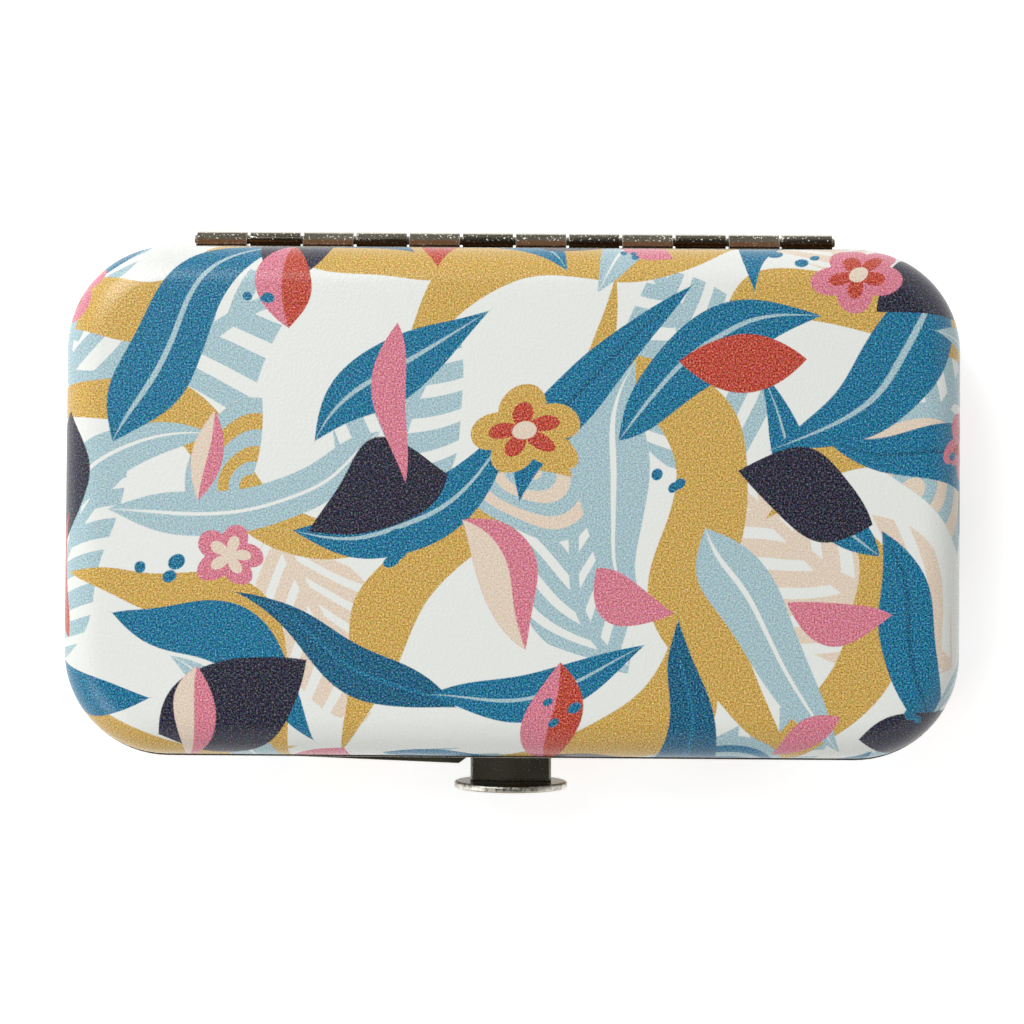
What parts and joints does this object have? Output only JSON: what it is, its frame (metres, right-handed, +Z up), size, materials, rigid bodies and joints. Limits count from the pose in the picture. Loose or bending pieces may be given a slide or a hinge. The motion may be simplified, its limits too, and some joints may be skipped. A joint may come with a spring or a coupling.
{
  "type": "manicure set case",
  "caption": "Slim hinged case with rolled edges and a padded, printed leatherette cover; a front push button frees the lid over a tray of nail tools.",
  "frame": {"origin": "centre of the closed case's footprint, on the bottom face it lies on", "axes": "X along the hinge, Y from the push button in front (-Y) to the hinge at the rear (+Y), Z up"},
  "size_m": [0.1132, 0.0714, 0.021],
  "materials": {
    "printed_leatherette": "satin grained polyurethane leatherette with a coloured print",
    "padding_foam": "thin foam wadding",
    "shell_steel": "stamped sheet steel",
    "black_nickel_steel": "polished black nickel plate on sheet steel",
    "zinc_plated_steel": "bright zinc plate on sheet steel",
    "spring_steel": "tempered spring strip",
    "velour_lining": "short flocked velour on card",
    "flocked_foam": "short flock on firm foam",
    "polished_steel": "polished stainless steel",
    "handle_plastic": "glossy moulded plastic"
  },
  "bodies": {
    "base": {"base_cover": "printed_leatherette", "base_frame": "black_nickel_steel", "base_hinge_leaf": "black_nickel_steel", "base_padding": "padding_foam", "base_shell": "shell_steel", "bracket_rivet_left": "zinc_plated_steel", "bracket_rivet_right": "zinc_plated_steel", "clipper_lever": "polished_steel", "clipper_lower_jaw": "polished_steel", "clipper_post": "polished_steel", "clipper_rivet": "polished_steel", "clipper_upper_jaw": "polished_steel", "file_blade": "polished_steel", "file_handle": "handle_plastic", "hinge_pin": "black_nickel_steel", "latch_bracket": "zinc_plated_steel", "latch_spring": "spring_steel", "scissors_half_lower": "polished_steel", "scissors_half_upper": "polished_steel", "scissors_screw": "polished_steel", "tool_tray": "flocked_foam", "tweezers_arm_lower": "polished_steel", "tweezers_arm_upper": "polished_steel"},
    "lid": {"lid_cover": "printed_leatherette", "lid_padding": "padding_foam", "lid_shell": "shell_steel", "lid_frame": "black_nickel_steel", "lid_lining": "velour_lining", "lid_hinge_leaf": "black_nickel_steel", "keeper_plate": "zinc_plated_steel", "keeper_rivet_left": "zinc_plated_steel", "keeper_rivet_right": "zinc_plated_steel"},
    "button": {"latch_tongue": "black_nickel_steel", "button_plate": "black_nickel_steel"}
  },
  "joints": [
    {"name": "lid_open", "type": "hinge", "parent": "base", "child": "lid", "pos_m": [0, 0.0335, 0.0105], "axis": [-1, 0, 0], "range_deg": [0, 180]},
    {"name": "button_press", "type": "slide", "parent": "base", "child": "button", "axis": [0, 1, 0], "range_m": [0, 0.0012], "stiffness_N_per_m": 600, "springref_m": -0.001, "deforming": ["latch_spring"]}
  ]
}
